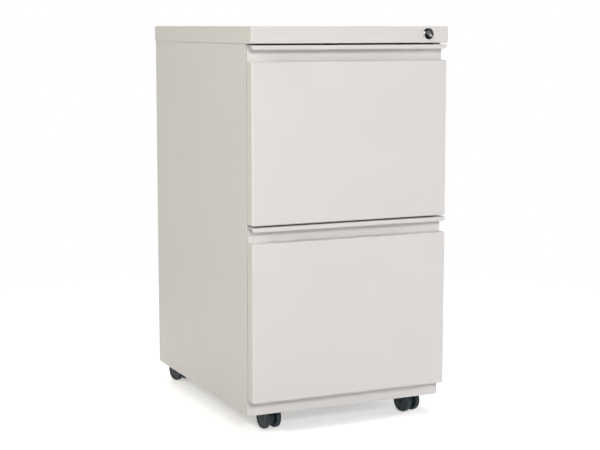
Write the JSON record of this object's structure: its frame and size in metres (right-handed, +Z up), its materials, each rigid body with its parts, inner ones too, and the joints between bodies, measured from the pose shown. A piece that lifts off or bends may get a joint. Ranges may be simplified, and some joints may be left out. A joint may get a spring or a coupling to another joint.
{
  "type": "pedestal file cabinet",
  "caption": "Narrow mobile steel pedestal with file drawers on ball runners, full width pulls, a cam lock that bars the drawers, and swivelling twin wheel casters.",
  "frame": {"origin": "on the floor, under the middle of the cabinet's box", "axes": "+Z up, the drawers open towards -Y, +X to the right when facing the drawers"},
  "size_m": [0.38, 0.493, 0.705],
  "materials": {
    "painted_steel": "fine powder coat, light warm grey",
    "zinc_steel": "bright zinc plated",
    "cast_weight": "rolled, dark",
    "screw_steel": "zinc plated",
    "rubber": "matte",
    "lock_chrome": "polished",
    "lock_steel": "plated",
    "lock_plug": "worn polished",
    "rail_plastic": "moulded",
    "caster_steel": "zinc plated",
    "caster_plastic": "moulded nylon, satin",
    "wheel_nylon": "moulded nylon, satin"
  },
  "bodies": {
    "case": {"top_cover": "painted_steel", "right_side_panel": "painted_steel", "left_side_panel": "painted_steel", "back_panel": "painted_steel", "base_pan": "painted_steel", "runner_posts": "zinc_steel", "top_front_rail": "zinc_steel", "drawer_bumpers": "rubber", "counterweight": "cast_weight", "case_runners": "zinc_steel", "case_runner_screws": "screw_steel", "lock_housing": "lock_chrome", "lock_nut": "lock_steel", "lock_bar_guides": "rail_plastic", "caster_plates": "caster_steel", "caster_kingpins": "caster_steel", "caster_screws": "screw_steel"},
    "lock_plug": {"lock_plug": "lock_plug", "lock_cam": "lock_steel"},
    "lock_bar": {"lock_bar": "zinc_steel"},
    "lower_drawer": {"lower_front_skin": "painted_steel", "lower_pull": "painted_steel", "lower_front_liner": "painted_steel", "lower_tray": "painted_steel", "lower_tray_back": "painted_steel", "lower_file_rails": "rail_plastic", "lower_latch_strike": "zinc_steel", "lower_drawer_runners": "zinc_steel", "lower_drawer_screws": "screw_steel"},
    "lower_middle_runners_body": {"lower_middle_runners": "zinc_steel"},
    "lower_outer_ball_cages_body": {"lower_outer_ball_cages": "zinc_steel"},
    "lower_inner_ball_cages_body": {"lower_inner_ball_cages": "zinc_steel"},
    "upper_drawer": {"upper_front_skin": "painted_steel", "upper_pull": "painted_steel", "upper_front_liner": "painted_steel", "upper_tray": "painted_steel", "upper_tray_back": "painted_steel", "upper_file_rails": "rail_plastic", "upper_latch_strike": "zinc_steel", "upper_drawer_runners": "zinc_steel", "upper_drawer_screws": "screw_steel"},
    "upper_middle_runners_body": {"upper_middle_runners": "zinc_steel"},
    "upper_outer_ball_cages_body": {"upper_outer_ball_cages": "zinc_steel"},
    "upper_inner_ball_cages_body": {"upper_inner_ball_cages": "zinc_steel"},
    "front_left_caster": {"front_left_caster_housing": "caster_plastic", "front_left_caster_axle": "caster_steel"},
    "front_left_wheel_left": {"front_left_wheel_left": "wheel_nylon"},
    "front_left_wheel_right": {"front_left_wheel_right": "wheel_nylon"},
    "front_right_caster": {"front_right_caster_housing": "caster_plastic", "front_right_caster_axle": "caster_steel"},
    "front_right_wheel_left": {"front_right_wheel_left": "wheel_nylon"},
    "front_right_wheel_right": {"front_right_wheel_right": "wheel_nylon"},
    "rear_left_caster": {"rear_left_caster_housing": "caster_plastic", "rear_left_caster_axle": "caster_steel"},
    "rear_left_wheel_left": {"rear_left_wheel_left": "wheel_nylon"},
    "rear_left_wheel_right": {"rear_left_wheel_right": "wheel_nylon"},
    "rear_right_caster": {"rear_right_caster_housing": "caster_plastic", "rear_right_caster_axle": "caster_steel"},
    "rear_right_wheel_left": {"rear_right_wheel_left": "wheel_nylon"},
    "rear_right_wheel_right": {"rear_right_wheel_right": "wheel_nylon"}
  },
  "joints": [
    {"name": "lock_turn", "type": "hinge", "parent": "case", "child": "lock_plug", "pos_m": [0.149, -0.2435, 0.69035], "axis": [0, 1, 0], "range_deg": [0, 90]},
    {"name": "lock_bar_slide", "type": "slide", "parent": "case", "child": "lock_bar", "axis": [0, 0, -1], "range_m": [0, 0.01273]},
    {"name": "lower_drawer_slide", "type": "slide", "parent": "case", "child": "lower_drawer", "axis": [0, -1, 0], "range_m": [0, 0.44]},
    {"name": "lower_middle_runners_slide", "type": "slide", "parent": "case", "child": "lower_middle_runners_body", "axis": [0, -1, 0], "range_m": [0, 0.22]},
    {"name": "lower_outer_ball_cages_slide", "type": "slide", "parent": "case", "child": "lower_outer_ball_cages_body", "axis": [0, -1, 0], "range_m": [0, 0.11]},
    {"name": "lower_inner_ball_cages_slide", "type": "slide", "parent": "case", "child": "lower_inner_ball_cages_body", "axis": [0, -1, 0], "range_m": [0, 0.33]},
    {"name": "upper_drawer_slide", "type": "slide", "parent": "case", "child": "upper_drawer", "axis": [0, -1, 0], "range_m": [0, 0.44]},
    {"name": "upper_middle_runners_slide", "type": "slide", "parent": "case", "child": "upper_middle_runners_body", "axis": [0, -1, 0], "range_m": [0, 0.22]},
    {"name": "upper_outer_ball_cages_slide", "type": "slide", "parent": "case", "child": "upper_outer_ball_cages_body", "axis": [0, -1, 0], "range_m": [0, 0.11]},
    {"name": "upper_inner_ball_cages_slide", "type": "slide", "parent": "case", "child": "upper_inner_ball_cages_body", "axis": [0, -1, 0], "range_m": [0, 0.33]},
    {"name": "front_left_swivel", "type": "hinge", "parent": "case", "child": "front_left_caster", "pos_m": [-0.138, -0.1855, 0.048], "axis": [0, 0, 1], "continuous": true},
    {"name": "front_left_wheel_left_spin", "type": "hinge", "parent": "front_left_caster", "child": "front_left_wheel_left", "pos_m": [-0.1373, -0.19347, 0.02], "axis": [0.9962, 0.0872, 0], "continuous": true},
    {"name": "front_left_wheel_right_spin", "type": "hinge", "parent": "front_left_caster", "child": "front_left_wheel_right", "pos_m": [-0.1373, -0.19347, 0.02], "axis": [0.9962, 0.0872, 0], "continuous": true},
    {"name": "front_right_swivel", "type": "hinge", "parent": "case", "child": "front_right_caster", "pos_m": [0.138, -0.1855, 0.048], "axis": [0, 0, 1], "continuous": true},
    {"name": "front_right_wheel_left_spin", "type": "hinge", "parent": "front_right_caster", "child": "front_right_wheel_left", "pos_m": [0.13994, -0.19326, 0.02], "axis": [0.9703, 0.2419, 0], "continuous": true},
    {"name": "front_right_wheel_right_spin", "type": "hinge", "parent": "front_right_caster", "child": "front_right_wheel_right", "pos_m": [0.13994, -0.19326, 0.02], "axis": [0.9703, 0.2419, 0], "continuous": true},
    {"name": "rear_left_swivel", "type": "hinge", "parent": "case", "child": "rear_left_caster", "pos_m": [-0.156, 0.1965, 0.048], "axis": [0, 0, 1], "continuous": true},
    {"name": "rear_left_wheel_left_spin", "type": "hinge", "parent": "rear_left_caster", "child": "rear_left_wheel_left", "pos_m": [-0.15807, 0.20423, 0.02], "axis": [-0.9659, -0.2588, 0], "continuous": true},
    {"name": "rear_left_wheel_right_spin", "type": "hinge", "parent": "rear_left_caster", "child": "rear_left_wheel_right", "pos_m": [-0.15807, 0.20423, 0.02], "axis": [-0.9659, -0.2588, 0], "continuous": true},
    {"name": "rear_right_swivel", "type": "hinge", "parent": "case", "child": "rear_right_caster", "pos_m": [0.156, 0.1965, 0.048], "axis": [0, 0, 1], "continuous": true},
    {"name": "rear_right_wheel_left_spin", "type": "hinge", "parent": "rear_right_caster", "child": "rear_right_wheel_left", "pos_m": [0.15489, 0.20442, 0.02], "axis": [-0.9903, -0.1392, 0], "continuous": true},
    {"name": "rear_right_wheel_right_spin", "type": "hinge", "parent": "rear_right_caster", "child": "rear_right_wheel_right", "pos_m": [0.15489, 0.20442, 0.02], "axis": [-0.9903, -0.1392, 0], "continuous": true}
  ],
  "couplings": [
    {"joint": "lock_turn", "follows": "lock_bar_slide", "rad_per_m": 123.41},
    {"joint": "lower_middle_runners_slide", "follows": "lower_drawer_slide", "ratio": 0.5},
    {"joint": "lower_outer_ball_cages_slide", "follows": "lower_drawer_slide", "ratio": 0.25},
    {"joint": "lower_inner_ball_cages_slide", "follows": "lower_drawer_slide", "ratio": 0.75},
    {"joint": "upper_middle_runners_slide", "follows": "upper_drawer_slide", "ratio": 0.5},
    {"joint": "upper_outer_ball_cages_slide", "follows": "upper_drawer_slide", "ratio": 0.25},
    {"joint": "upper_inner_ball_cages_slide", "follows": "upper_drawer_slide", "ratio": 0.75}
  ]
}
